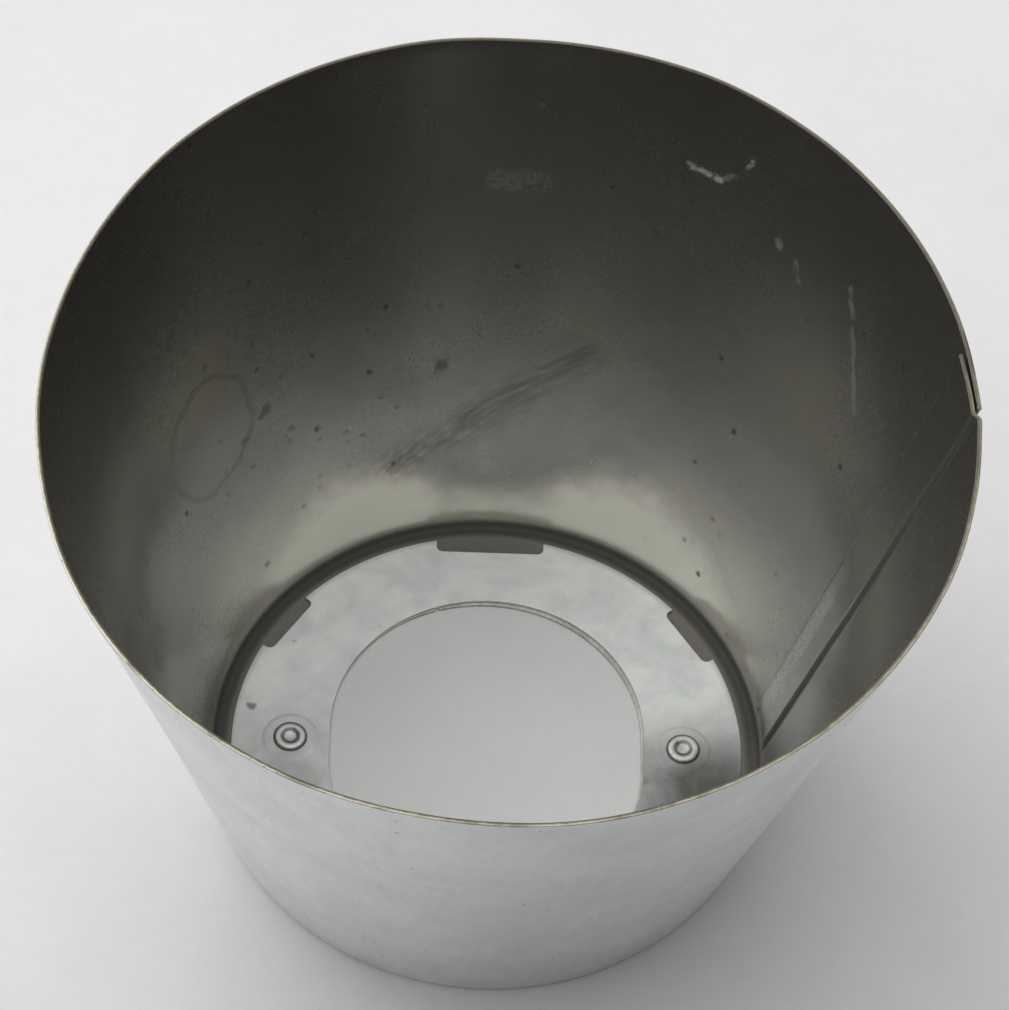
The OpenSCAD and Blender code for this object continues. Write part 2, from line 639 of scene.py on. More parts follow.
@dataclass(frozen=True)
class InsideTin:
    """Tin inside the cup: painted light at the foot and up the lower back sides, darker with use towards the
    rim, painted shade in the foot's corner and a painted dark reflection low on the front right.
    """

    seam: tuple[tuple[Point, Point], ...]
    wipe: tuple[Point, Point]
    name: str = "inside_tin"
    dull: tuple[float, ...] = rgb(0.29, 0.282, 0.258)
    pale: tuple[float, ...] = rgb(0.42, 0.41, 0.38)
    smoked_and_shade: tuple[float, ...] = rgb(0.17, 0.165, 0.145)
    bright: tuple[float, ...] = rgb(0.95, 0.93, 0.82)
    grime_and_shade: tuple[float, ...] = rgb(0.05, 0.05, 0.042)
    sooty: tuple[float, ...] = rgb(0.26, 0.25, 0.22)
    brown: tuple[float, ...] = rgb(0.09, 0.07, 0.04)
    scratch: tuple[float, ...] = rgb(0.70, 0.69, 0.65)
    shadow: tuple[float, ...] = rgb(0.075, 0.07, 0.06)
    solder: tuple[float, ...] = rgb(0.62, 0.61, 0.57)

    def make(self) -> bpy.types.Material:
        """Make the material.

        Returns:
            The material.
        """
        p = Paint(self.name)
        height, reach = p.part(2), p.radius()
        cloud = p.noise(22, 4, 0.6, 0.6)
        blotch = p.noise(6, 4, 0.6)
        upright = p.noise(1.6, 3, 0.6, where=p.place(size=(1, 1, 12)))
        level = p.noise(1.4, 3, 0.6, where=p.place(size=(9, 9, 1)))
        grain = p.noise(0.45, 2, 0.7)
        tone = cloud.ease(0.3, 0.7) * 0.4 + blotch.ease(0.3, 0.75) * 0.3 + upright * 0.25 + grain * 0.4 - 0.15
        colour = p.mix(tone.held(), self.dull, self.pale)
        smoke = (height + 26 * (cloud - 0.5) + 10 * (blotch - 0.5)).ease(20, 62)
        colour = p.mix(smoke * 0.95, colour, p.mix(grain * 0.6 + blotch * 0.4, self.smoked_and_shade, self.sooty))
        side = abs(p.part(0))
        # Painted light: a near-white band round the foot of the wall that reaches higher at the sides, and a
        # softer glow up the lower back sides.
        lift = side.ease(3, 20) * side.ease(44, 22) * 9.0 - side.ease(26, 46) * 4.0
        painted_foot_light = (height - lift + 9 * (cloud - 0.5) + 7 * (blotch - 0.5)).ease(11, 1)
        painted_side_glow = height.ease(30, 8) * side.ease(18, 30) * p.part(1).ease(4, 24)
        colour = p.mix(painted_side_glow * 0.5, colour, self.bright)
        colour = p.mix(painted_foot_light * 0.95, colour, self.bright)
        spots = p.specks(6, 0.13, p.wobbly(1.2, 0.5)) * blotch.ease(0.45, 0.62)
        peppered = p.away((-26, 44, 42)).ease(36, 10) * blotch.ease(0.35, 0.6)
        spots = spots.most(p.specks(3.2, 0.2, p.wobbly(1.0, 0.6)) * peppered)
        dirt_and_shade = (spots * 0.9).most(self.dark_marks(p)).held()
        colour = p.mix(dirt_and_shade * 0.9, colour, p.mix(blotch, self.grime_and_shade, self.brown))
        light = self.pale_marks(p).held()
        colour = p.mix(light, colour, self.scratch)
        # Painted shade in the foot's corner, where the flange meets the wall, together with the darker line
        # along the step of the lap.
        corner = (height.ease(3.0, 1.0) * reach.ease(39.2, 40.6)).most(self.crevice(p))
        floor = height.ease(1.3, 0.6) * 0.92
        colour = p.mix(floor, colour, self.shadow)
        colour = p.mix(corner * 0.95, colour, self.grime_and_shade)
        dirt_and_shade = dirt_and_shade.most(corner)
        wiped = self.wiped(p) * blotch.ease(0.25, 0.55)
        colour = p.mix(wiped, colour, self.solder)
        top = height.ease(52, 86)
        colour = p.mix(top * 0.3, colour, self.grime_and_shade)
        # Painted sheen: lighter patches on the left and right walls.
        painted_sheen = (p.away((-54, 14, 36)).ease(32, 8) * 0.55).most(p.away((46, 32, 46)).ease(30, 8) * 0.4)
        colour = p.mix(painted_sheen * (1.0 - dirt_and_shade), colour, self.pale)
        # Painted dark reflection low on the front right wall, in the colour of the darkened tin.
        painted_dark_reflection = p.part(0).ease(26, 44) * p.part(1).ease(8, -14)
        colour = p.mix(painted_dark_reflection * 0.6, colour, self.smoked_and_shade)
        rough = 0.20 + 0.08 * cloud + 0.05 * grain + 0.25 * dirt_and_shade + 0.25 * light + 0.2 * floor - 0.08 * painted_foot_light
        bumps = cloud * 0.4 + blotch * 0.3 + level * 0.1 + upright * 0.1 + grain * 0.06 - light * 0.05
        metal = 0.74 - 0.2 * painted_foot_light + 0.06 * top - 0.75 * light - 0.5 * corner - 0.4 * wiped
        return p.close(colour, rough.held(), metal.held(), p.bump(bumps * (1.0 - 0.7 * painted_foot_light), 0.10))

    def wiped(self, p: Paint) -> Value:
        """Solder wiped over the lower half of the lap.

        Args:
            p: The material's tree.

        Returns:
            Its mask.
        """
        line = p.stroke(*self.wipe, p.wobbly(4, 0.8)).ease(2.0, 0.9)
        return line * p.part(2).ease(52, 30) * 0.32

    def crevice(self, p: Paint) -> Value:
        """Darker line along the step of the lap.

        Args:
            p: The material's tree.

        Returns:
            Its mask.
        """
        where = p.wobbly(3, 0.12)
        return strongest([p.stroke(start, end, where).ease(0.62, 0.34) for start, end in self.seam])

    @staticmethod
    def dark_marks(p: Paint) -> Value:
        """Dark spots and stains that have a place of their own.

        Args:
            p: The material's tree.

        Returns:
            Their mask.
        """
        where = p.wobbly(1.6, 1.3)
        spots = [
            ((-28.4, 49.7, 57.6), 3.4, 0.35),
            ((-35.4, 36.5, 35.5), 1.5, 0.6),
            ((-38.3, 32.4, 33.2), 1.2, 0.55),
            ((-31.7, 37.7, 29.2), 1.1, 0.5),
            ((-9.1, 49.5, 31.5), 1.7, 0.7),
            ((27.7, 49.0, 53.4), 0.9, 0.4),
            ((-20.0, 50.0, 45.0), 1.3, 0.35),
        ]
        masks = [
            p.away(centre, where).ease(reach, reach * 0.2) * strength for centre, reach, strength in spots
        ]
        ring = abs(p.away((-42.6, 27.5, 39.5), p.wobbly(6, 1.6)) - 9.6).ease(0.8, 0.1) * 0.22
        shaken = p.wobbly(7, 2.2)
        smear = p.stroke((-16, 42.6, 14.0), (-2.5, 47.6, 21.8), shaken).ease(5.5, 0.0)
        smear = smear.most(p.stroke((-2.5, 47.6, 21.8), (13, 49.3, 36), shaken).ease(5.0, 0.0))
        drag = p.noise(0.9, 2, 0.6, where=p.place(turn=(0, -38, 0), size=(10, 1, 1))).ease(0.25, 0.7)
        return strongest([*masks, ring, smear * drag * 0.5])

    @staticmethod
    def pale_marks(p: Paint) -> Value:
        """Scuffs and scratches that show brighter metal.

        Args:
            p: The material's tree.

        Returns:
            Their mask.
        """
        where = p.wobbly(1.5, 0.5)
        lines = [
            ((26.3, 56.0, 72.4), (30.6, 53.4, 72.2), 0.9, 0.8),
            ((30.6, 53.4, 72.2), (33.4, 51.8, 74.8), 0.8, 0.5),
            ((33.4, 51.8, 74.8), (35.1, 52.3, 78.1), 0.7, 0.8),
            ((48.9, 34.4, 70.9), (50.6, 23.4, 56.7), 0.8, 0.3),
            ((39.1, 45.4, 68.3), (39.3, 45.0, 67.8), 1.2, 0.4),
            ((41.7, 42.4, 67.4), (42.6, 41.0, 64.5), 0.8, 0.25),
            ((4.4, 63.4, 76.5), (4.7, 63.4, 76.2), 0.9, 0.5),
            ((-1.5, 59.7, 63.6), (4.5, 59.7, 63.6), 3.0, 0.12),
        ]
        masks = [
            p.stroke(start, end, where).ease(width, width * 0.2) * strength
            for start, end, width, strength in lines
        ]
        return strongest(masks) * p.noise(1.2, 3, 0.6).ease(0.3, 0.6)


@dataclass(frozen=True)
class OutsideTin:
    """Tin outside the cup, satin from handling and washing."""

    name: str = "outside_tin"
    base: tuple[float, ...] = rgb(0.81, 0.83, 0.825)
    worn: tuple[float, ...] = rgb(0.66, 0.68, 0.675)
    spot: tuple[float, ...] = rgb(0.2, 0.19, 0.17)
    scratch: tuple[float, ...] = rgb(0.85, 0.86, 0.86)

    def make(self) -> bpy.types.Material:
        """Make the material.

        Returns:
            The material.
        """
        p = Paint(self.name)
        cloud = p.noise(16, 4, 0.6, 0.4)
        upright = p.noise(1.2, 3, 0.6, where=p.place(size=(1, 1, 14)))
        level = p.noise(1.0, 3, 0.6, where=p.place(size=(10, 10, 1)))
        grain = p.noise(0.5, 2, 0.7)
        tone = cloud.ease(0.3, 0.7) * 0.5 + upright.ease(0.3, 0.7) * 0.3 + grain * 0.35 - 0.1
        colour = p.mix(tone.held(), self.base, self.worn)
        spots = p.specks(3.6, 0.11, p.wobbly(1.0, 0.3)) * cloud.ease(0.38, 0.55)
        hair = abs(p.noise(7, 1, 0.5, where=p.place(turn=(18, 0, 35), size=(1, 1, 6))) - 0.5).ease(0.008, 0.0)
        hair = hair * p.noise(9, 2).ease(0.52, 0.62)
        colour = p.mix(spots * 0.55, colour, self.spot)
        colour = p.mix(hair * 0.35, colour, self.scratch)
        rough = (0.30 + 0.12 * cloud + 0.06 * grain + 0.15 * spots).held()
        height = cloud * 0.4 + level * 0.1 + upright * 0.15 + grain * 0.08 + hair * -0.1
        return p.close(colour, rough, 1.0, p.bump(height, 0.08))


@dataclass(frozen=True)
class CutEdge:
    """Sheared edge of the sheet: bright on its outward half with a painted highlight towards the front, rust
    brown with painted shade on its inward half.
    """

    tucked: Point
    name: str = "cut_edge"
    bright: tuple[float, ...] = rgb(0.62, 0.60, 0.47)
    dull: tuple[float, ...] = rgb(0.26, 0.255, 0.18)
    rust: tuple[float, ...] = rgb(0.055, 0.038, 0.018)
    speck: tuple[float, ...] = rgb(0.3, 0.29, 0.22)

    def make(self) -> bpy.types.Material:
        """Make the material.

        Returns:
            The material.
        """
        p = Paint(self.name)
        run = p.noise(7, 4, 0.65)
        nick = p.noise(1.1, 3, 0.6)
        grain = p.noise(0.3, 2, 0.6)
        facing = p.add("ShaderNodeNewGeometry", {}, {}).outputs["Normal"]
        outward = p.vector("NORMALIZE", p.vector("MULTIPLY", p.coords, (1.0, 1.0, 0.0)))
        lean = p.measure("DOT_PRODUCT", facing, outward)
        # The inward-facing half of the edge is painted dark: rust brown that also stands in for shade. A
        # painted highlight makes the edge brighter towards the front.
        inner = (lean + 0.5 * (nick - 0.5)).ease(0.35, -0.35)
        painted_sheen = p.part(1).ease(20, -45) * run.ease(0.34, 0.55)
        colour = p.mix(painted_sheen * 0.85 + 0.1, self.dull, self.bright)
        tucked = p.away(self.tucked).ease(6.5, 2.5) * 0.8
        # This list holds the painted shade on the inward half as well as nicks, runs and the darker patch at
        # the lap's tucked end.
        stains = [inner * 0.9, nick.ease(0.56, 0.74) * 0.7, run.ease(0.6, 0.75) * 0.5, tucked]
        dirt_and_shade = strongest(stains).held()
        colour = p.mix(dirt_and_shade, colour, self.rust)
        colour = p.mix(grain * 0.2, colour, self.speck)
        rough = (0.30 + 0.35 * dirt_and_shade).held()
        return p.close(colour, rough, (1.0 - 0.5 * dirt_and_shade).held(), p.bump(nick * 0.6 + grain * 0.4, 0.06))


@dataclass(frozen=True)
class RingTin:
    """Bright flat plate with soft water marks, and painted shade along its outer edge and towards its front.
    """

    name: str = "ring_tin"
    base: tuple[float, ...] = rgb(0.93, 0.955, 0.93)
    mark: tuple[float, ...] = rgb(0.70, 0.74, 0.745)
    grime_and_shade: tuple[float, ...] = rgb(0.13, 0.13, 0.12)

    def make(self) -> bpy.types.Material:
        """Make the material.

        Returns:
            The material.
        """
        p = Paint(self.name)
        cloud = p.noise(12, 4, 0.6, 0.8)
        blotch = p.noise(3.5, 4, 0.65, 0.4)
        grain = p.noise(0.35, 2, 0.7)
        drag = p.noise(0.8, 3, 0.6, where=p.place(turn=(0, 0, 28), size=(9, 1, 1)))
        tone = cloud.ease(0.35, 0.68) * 0.55 + blotch.ease(0.4, 0.7) * 0.3 + drag * 0.15
        colour = p.mix(tone.held(), self.base, self.mark)
        spots = p.specks(4, 0.1, p.wobbly(1.0, 0.3)) * blotch.ease(0.5, 0.62)
        spots = spots.most(p.away((-36.3, 5.5, 1.0), p.wobbly(1.2, 0.4)).ease(1.0, 0.3))
        stain = p.away((24.2, -5.6, 1.0), p.wobbly(1.5, 0.6)).ease(2.2, 0.6)
        # Painted shade: darker along the plate's outer edge and towards its front, more so on the right.
        border = p.radius().ease(38.0, 39.1) * 0.3
        aside = p.part(0).ease(18, 34)
        front = p.part(1).ease(12, -8) * (0.42 + 0.5 * aside + 0.2 * p.part(0).ease(8, 28))
        dirt_and_shade = strongest([spots * 0.75, stain * 0.75, border, front * (0.6 + 0.8 * (cloud - 0.2))]).held()
        colour = p.mix(dirt_and_shade, colour, self.grime_and_shade)
        rough = (0.38 + 0.12 * cloud + 0.08 * grain + 0.2 * dirt_and_shade).held()
        height = cloud * 0.5 + blotch * 0.25 + drag * 0.1 + grain * 0.08
        return p.close(colour, rough, 0.3, p.bump(height, 0.09))


@dataclass(frozen=True)
class CollarTin:
    """Plate under the ring, dull and scuffed where it stands."""

    name: str = "collar_tin"
    base: tuple[float, ...] = rgb(0.60, 0.61, 0.59)
    worn: tuple[float, ...] = rgb(0.36, 0.355, 0.33)
    rust: tuple[float, ...] = rgb(0.14, 0.11, 0.08)

    def make(self) -> bpy.types.Material:
        """Make the material.

        Returns:
            The material.
        """
        p = Paint(self.name)
        cloud = p.noise(9, 4, 0.6, 0.5)
        scuff = p.noise(0.6, 3, 0.6, where=p.place(turn=(0, 0, 55), size=(14, 1, 1)))
        grain = p.noise(0.35, 2, 0.7)
        tone = cloud.ease(0.35, 0.7) * 0.6 + scuff.ease(0.4, 0.7) * 0.4
        colour = p.mix(tone.held(), self.base, self.worn)
        spots = p.specks(5, 0.12, p.wobbly(1.0, 0.4)) * cloud.ease(0.45, 0.6)
        colour = p.mix(spots * 0.7, colour, self.rust)
        rough = (0.36 + 0.14 * cloud + 0.1 * scuff + 0.15 * spots).held()
        return p.close(colour, rough, 1.0, p.bump(cloud * 0.4 + scuff * 0.3 + grain * 0.1, 0.06))


@dataclass(frozen=True)
class RivetSteel:
    """Tinned steel rivet, soiled round its dimple and its head's edge, with painted shade there too."""

    name: str = "rivet_steel"
    base: tuple[float, ...] = rgb(0.58, 0.59, 0.58)
    worn: tuple[float, ...] = rgb(0.45, 0.46, 0.45)
    grime_and_shade: tuple[float, ...] = rgb(0.10, 0.095, 0.085)
    centres: tuple[float, ...] = (-30.1, 30.1)

    def make(self) -> bpy.types.Material:
        """Make the material.

        Returns:
            The material.
        """
        p = Paint(self.name)
        grain = p.noise(0.5, 3, 0.65)
        patch = p.noise(1.6, 3, 0.6)
        flat = p.vector("MULTIPLY", p.coords, (1.0, 1.0, 0.0))
        reach = reduce(Value.least, [p.away((x, 0, 0), flat) for x in self.centres])
        # Darker round the head's edge and down the dimple's slope: soiling with painted shade.
        dirt_and_shade = (reach.ease(2.0, 2.5) * 0.7).most(abs(reach - 1.2).ease(0.5, 0.1) * 0.6)
        dirt_and_shade = (dirt_and_shade + patch.ease(0.5, 0.75) * 0.3).held()
        colour = p.mix(dirt_and_shade, p.mix(grain, self.base, self.worn), self.grime_and_shade)
        rough = (0.32 + 0.15 * grain + 0.25 * dirt_and_shade).held()
        return p.close(colour, rough, 1.0, p.bump(grain * 0.5 + patch * 0.5, 0.05))


@dataclass(frozen=True)
class Solder:
    """Wiped tin-lead solder, grey and slightly pitted."""

    name: str = "solder"
    base: tuple[float, ...] = rgb(0.46, 0.465, 0.46)
    dark: tuple[float, ...] = rgb(0.22, 0.22, 0.21)
    pit: tuple[float, ...] = rgb(0.08, 0.08, 0.075)

    def make(self) -> bpy.types.Material:
        """Make the material.

        Returns:
            The material.
        """
        p = Paint(self.name)
        cloud = p.noise(3, 4, 0.6)
        grain = p.noise(0.3, 3, 0.7)
        pits = p.specks(1.5, 0.2, p.wobbly(0.8, 0.2)) * cloud.ease(0.4, 0.6)
        colour = p.mix(cloud.ease(0.3, 0.75), self.base, self.dark)
        colour = p.mix(pits * 0.6, colour, self.pit)
        rough = (0.42 + 0.15 * cloud + 0.2 * pits).held()
        return p.close(colour, rough, 1.0, p.bump(cloud * 0.4 + grain * 0.3 - pits * 0.3, 0.08))


@dataclass(frozen=True)
class Table:
    """Pale matt surface the funnel stands on."""

    name: str = "table"
    base: tuple[float, ...] = rgb(0.80, 0.80, 0.80)
    cool: tuple[float, ...] = rgb(0.74, 0.74, 0.745)

    def make(self) -> bpy.types.Material:
        """Make the material.

        Returns:
            The material.
        """
        p = Paint(self.name)
        cloud = p.noise(28, 4, 0.6)
        fine = p.noise(3, 3, 0.6)
        colour = p.mix((cloud * 0.7 + fine * 0.3).ease(0.35, 0.65) * 0.5, self.base, self.cool)
        return p.close(colour, 0.6 + 0.1 * fine, 0.0, p.bump(fine, 0.05))


# ----------------------------------------------------------------- sub-assemblies


def dress(obj: bpy.types.Object, materials: list[bpy.types.Material]) -> None:
    """Give a piece its materials, in slot order.

    Args:
        obj: The piece.
        materials: One for each slot.
    """
    obj.data.materials.clear()
    for material in materials:
        obj.data.materials.append(material)


def set_in(piece: bpy.types.Object, node: str) -> None:
    """Set a finished piece in the frame.

    Args:
        piece: The piece.
        node: The node it stands for.
    """
    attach(piece, ROOT)
    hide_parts(node)


@dataclass
class Cup:
    """Tapered cup of one wrapped sheet, lapped at +X and turned in at the foot. Millimetres."""

    rim_r: float = 65.0
    foot_r: float = 42.0
    height: float = 87.0
    sheet: float = 0.5
    flange_w: float = 7.5
    corner_r: float = 1.5
    squeeze: float = 0.0295
    squeeze_at: float = -7.5
    lap_end: float = 8.8
    free_end: float = 0.35
    joggle_start: float = -1.2
    inset: float = 0.64
    lap_low: float = 3.0
    calm_z: float = 3.0
    calm_fade: float = 22.0
    bead_low: float = 3.4
    bead_run: float = 78.4
    bead_steps: int = 65
    lap_from: int = 0
    wall: bpy.types.Object | None = None
    beads: bpy.types.Object | None = None
    fillet: bpy.types.Object | None = None

    @classmethod
    def from_frame(cls) -> Cup:
        """Take the sizes from the fixed frame.

        Returns:
            The cup, not yet built.
        """
        low, high = (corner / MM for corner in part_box("body_shell"))
        return cls(rim_r=(high.x - low.x) / 2, height=high.z - low.z)

    def outer(self, z: float) -> float:
        """Outside radius at a height, before the cup is squeezed."""
        return self.foot_r + (self.rim_r - self.foot_r) * z / self.height

    def squeezed(self, degrees: float, z: float, inward: float = 0.0) -> Point:
        """A point on the squeezed cup.

        Args:
            degrees: Its angle from +X.
            z: Its height.
            inward: How far it lies inside the outer face.

        Returns:
            The point.
        """
        amount = self.squeeze * z / self.height
        reach = self.outer(z) - inward
        angle = math.radians(degrees - self.squeeze_at)
        x, y = reach * math.cos(angle) * (1 - amount), reach * math.sin(angle) * (1 + amount)
        back = math.radians(self.squeeze_at)
        return (x * math.cos(back) - y * math.sin(back), x * math.sin(back) + y * math.cos(back), z)

    def section(self) -> list[tuple[float, float]]:
        """Outside of the sheet from the flange's edge to the rim, as radius and height."""
        lean = math.atan((self.rim_r - self.foot_r) / self.height)
        middle = self.foot_r - self.corner_r * (1 - math.sin(lean)) / math.cos(lean)
        inner = self.foot_r - self.flange_w
        line = [(inner, 0.0), (inner + 1.5, 0.0), (inner + 3.5, 0.0), (inner + 5.2, 0.0)]
        for step in range(8):
            angle = -math.pi / 2 + (math.pi / 2 - lean) * step / 7
            line.append((middle + self.corner_r * math.cos(angle), self.corner_r * (1 + math.sin(angle))))
        levels = [2.0, self.lap_low, 3.7, 4.5, 6.0, 8.0]
        levels += [8.0 + 70.0 * i / 27 for i in range(1, 28)]
        levels += [80.0, 82.0, 83.5, 84.8, 85.8, 86.5, self.height]
        return line + [(self.outer(z), z) for z in levels]

    def build_wall(self) -> None:
        """Wrap the sheet, set the lap in, squeeze the cup and thicken it."""
        line = self.section()
        bench = Bench.point("cup_wall", (line[0][0], 0, 0))
        for (r0, z0), (r1, z1) in zip(line, line[1:]):
            bench.extrude((r1 - r0, 0, z1 - z0))
        bpy.ops.mesh.select_all(action="SELECT")
        bench.turn(self.free_end)
        bench.spin(360 + self.joggle_start - self.free_end, 356)
        self.step_in(bench)
        self.close_foot(bench)
        self.squeeze_rows(bench, [z for _, z in line])
        self.open_lap(bench)
        obj = bench.done()
        levels = (self.lap_low, 45, self.height)
        low, middle, high = (self.squeezed(self.joggle_start + 0.5, z, self.sheet + 0.25) for z in levels)
        wipe = (self.squeezed(6.6, 4, 1.2), self.squeezed(6.6, 50, 1.2))
        inside = InsideTin(seam=((low, middle), (middle, high)), wipe=wipe)
        edge = CutEdge(tucked=self.squeezed(self.lap_end, self.height, self.inset + 0.7))
        dress(obj, [OutsideTin().make(), inside.make(), edge.make()])
        self.free_part(obj)
        ripple(obj, 26, 0.5, "free")
        ripple(obj, 9, 0.12, "free")
        finish_with(
            obj,
            "SOLIDIFY",
            thickness=self.sheet * MM,
            offset=-1.0,
            use_even_offset=True,
            material_offset=1,
            material_offset_rim=2,
        )
        self.trim_rim(obj)
        self.wall = obj

    def free_part(self, obj: bpy.types.Object) -> None:
        """Mark how freely the sheet can swell: not at all at the foot, fully from a third of the height.

        Args:
            obj: The sheet.
        """
        group = obj.vertex_groups.new(name="free")
        for vert in obj.data.vertices:
            share = (vert.co.z / MM - self.calm_z) / self.calm_fade
            group.add([vert.index], min(max(share, 0.0), 1.0), "REPLACE")

    def trim_rim(self, obj: bpy.types.Object) -> None:
        """Trim the rim nearly level and round its edges.

        Args:
            obj: The thickened sheet.
        """
        band, flatten, rounding, wall_from = 0.42, 0.15, 0.19, 80.0
        bench = Bench.again(obj)
        bench.select(lambda co, i: co.z > self.height - band)
        bench.scale((1, 1, flatten), (0, 0, self.height - 0.02))
        bpy.ops.mesh.select_mode(type=Pick.EDGES.value)
        bpy.ops.mesh.select_all(action="DESELECT")
        cage = bmesh.from_edit_mesh(obj.data)
        for edge in cage.edges:
            kinds = {face.material_index for face in edge.link_faces}
            edge.select = len(kinds) == 2 and 2 in kinds and min(v.co.z for v in edge.verts) / MM > wall_from
        bmesh.update_edit_mesh(obj.data)
        bpy.ops.mesh.bevel(offset=rounding * MM, segments=3, material=2, clamp_overlap=False)
        bench.done()

    def step_in(self, bench: Bench) -> None:
        """Carry the sheet on round, stepped in under its own start."""
        steps = [(0.3, 0.16), (0.3, 0.34), (0.3, 0.34), (0.3, 0.16), (self.free_end, 0.0)]
        angle = self.joggle_start
        for turn, share in steps:
            bench.spin(turn, 1)
            angle += turn
            if share:
                kept = set(bench.selected())
                around = math.radians(angle)
                for low, high, part in ((3.2, 4.0, 0.35), (4.0, 5.0, 0.8), (5.0, 999.0, 1.0)):
                    bench.select(lambda co, i: i in kept and low < co.z < high)
                    push = -self.inset * share * part
                    bench.move((push * math.cos(around), push * math.sin(around), 0))
                bench.select(lambda co, i: i in kept)
        self.lap_from = bench.count() - len(bench.selected())
        bench.spin(self.lap_end - self.free_end, 12)

    def close_foot(self, bench: Bench) -> None:
        """Trim the lap below its lower end and join the flange into a full ring."""
        first = self.lap_from

        def spare(face: bmesh.types.BMFace) -> bool:
            """True for a face of the lap strip below its lower end."""
            below = face.calc_center_median().z / MM < self.lap_low
            return below and all(v.index >= first for v in face.verts)

        bpy.ops.mesh.select_mode(type=Pick.FACES.value)
        bpy.ops.mesh.select_all(action="DESELECT")
        cage = bmesh.from_edit_mesh(bench.obj.data)
        for face in cage.faces:
            face.select = spare(face)
        bmesh.update_edit_mesh(bench.obj.data)
        bpy.ops.mesh.delete(type="FACE")
        bpy.ops.mesh.select_mode(type=Pick.VERTS.value)
        bench.weld(0.02)
        self.lap_from = self.lap_from_here(bench)

    def lap_from_here(self, bench: Bench) -> int:
        """Number of the first point of the inner layer, once the foot is joined.

        Args:
            bench: The cup in edit mode.

        Returns:
            The number.
        """
        found = []
        for vert in bmesh.from_edit_mesh(bench.obj.data).verts:
            co = vert.co / MM
            short = self.outer(co.z) - co.xy.length
            if co.z > 6 and 0.5 < short < 0.8 and abs(co.y) < 14 and co.x > 0:
                found.append(vert.index)
        return min(found)

    def squeeze_rows(self, bench: Bench, levels: list[float]) -> None:
        """Press the cup oval, more and more towards the rim.

        Args:
            bench: The cup in edit mode.
            levels: Heights of its rows.
        """
        bpy.ops.mesh.select_all(action="SELECT")
        bench.turn(-self.squeeze_at)
        for z in sorted({round(level, 4) for level in levels if level > 1.2}):
            amount = self.squeeze * z / self.height
            bench.select(lambda co, i: abs(co.z - z) < 0.01)
            bench.scale((1 - amount, 1 + amount, 1))
        bpy.ops.mesh.select_all(action="SELECT")
        bench.turn(self.squeeze_at)

    def open_lap(self, bench: Bench) -> None:
        """Let the inner layer stand off at the rim, and dent the rim a little."""
        rim = self.height
        end = Vector(self.squeezed(self.lap_end, rim, self.inset))
        tip = Vector(self.squeezed(self.free_end, rim))
        first = self.lap_from
        bench.hide_all_but(lambda i: i >= first)
        bench.select(lambda co, i: (co - end).length < 1.6)
        bench.move((-0.42, -0.2, 0), 11.0)
        bpy.ops.mesh.reveal(select=False)
        bench.hide_all_but(lambda i: i < first)
        bench.select(lambda co, i: (co - tip).length < 0.3)
        bench.move((0.12, 0.1, -0.5))
        bench.select(lambda co, i: (co - tip).length < 1.4)
        bench.move((0.16, 0.0, 0.0), 5.0)
        bpy.ops.mesh.reveal(select=False)
        for degrees, push in ((84.0, -0.55), (262.0, -0.35), (140.0, 0.25), (215.0, 0.25)):
            x, y, z = self.squeezed(degrees, rim)
            away = Vector((x, y)).normalized() * push
            bench.select(lambda co, i: (co - Vector((x, y, z))).length < 1.2)
            bench.move((away.x, away.y, 0), 24.0)

    def build_beads(self) -> None:
        """Solder in the groove outside and along the lap's end inside."""
        parts = []
        for name, degrees, inward, wide, deep in (
            ("groove", 0.17, 0.16, 0.34, 0.22),
            ("inside", self.lap_end + 0.35, 0.68, 0.42, 0.30),
        ):
            start = Vector(self.squeezed(degrees, self.bead_low, inward))
            bench = Bench.disc(f"bead_{name}", 1.0, tuple(start), 10)
            bench.scale((deep, wide, 1), tuple(start))
            last, grown = start, 1.0
            for step in range(1, self.bead_steps + 1):
                z = self.bead_low + self.bead_run * step / self.bead_steps
                here = Vector(self.squeezed(degrees, z, inward))
                bench.extrude(tuple(here - last))
                want = 1.0 + 0.14 * math.sin(step * 1.9) + 0.1 * math.sin(step * 0.73 + 1.0)
                want *= 0.35 if step == self.bead_steps else 1.0
                ratio = want / grown
                bench.scale((ratio, ratio, 1), tuple(here))
                last, grown = here, want
            bench.weld()
            parts.append(bench.done())
        clear_bench()
        for part in parts:
            part.select_set(True)
        bpy.context.view_layer.objects.active = parts[0]
        bpy.ops.object.join()
        self.beads = parts[0]
        self.beads.name = self.beads.data.name = "seam_bead"
        bpy.ops.object.shade_smooth_by_angle(angle=math.radians(50))

    def build_fillet(self) -> None:
        """Solder run along the flange's edge, under the ring."""
        inner = self.foot_r - self.flange_w
        bench = Bench.point("flange_fillet", (inner + 0.02, 0, 0.04))
        for dx, dz in ((0.0, 0.43), (-0.62, 0.0), (-0.08, -0.06), (0.16, -0.12), (0.26, -0.16)):
            bench.extrude((dx, 0, dz))
        bpy.ops.mesh.select_all(action="SELECT")
        bpy.ops.mesh.edge_face_add()
        bpy.ops.mesh.select_all(action="SELECT")
        bpy.ops.mesh.delete(type="ONLY_FACE")
        bpy.ops.mesh.select_all(action="SELECT")
        bench.spin(360, 240)
        bench.weld()
        self.fillet = bench.done()
        ripple(self.fillet, 3, 0.12)
        bpy.ops.object.shade_smooth_by_angle(angle=math.radians(50))

    def finish(self) -> None:
        """Round the wall's edges, give the beads their solder and set the pieces in the frame."""
        soften(self.wall, 0.06, 1, 60)
        self.merge_slivers()
        solder = Solder().make()
        for piece in (self.beads, self.fillet):
            dress(piece, [solder])
        set_in(self.wall, "body_shell")
        set_in(self.beads, "seam_solder")
        set_in(self.fillet, "base_solder")

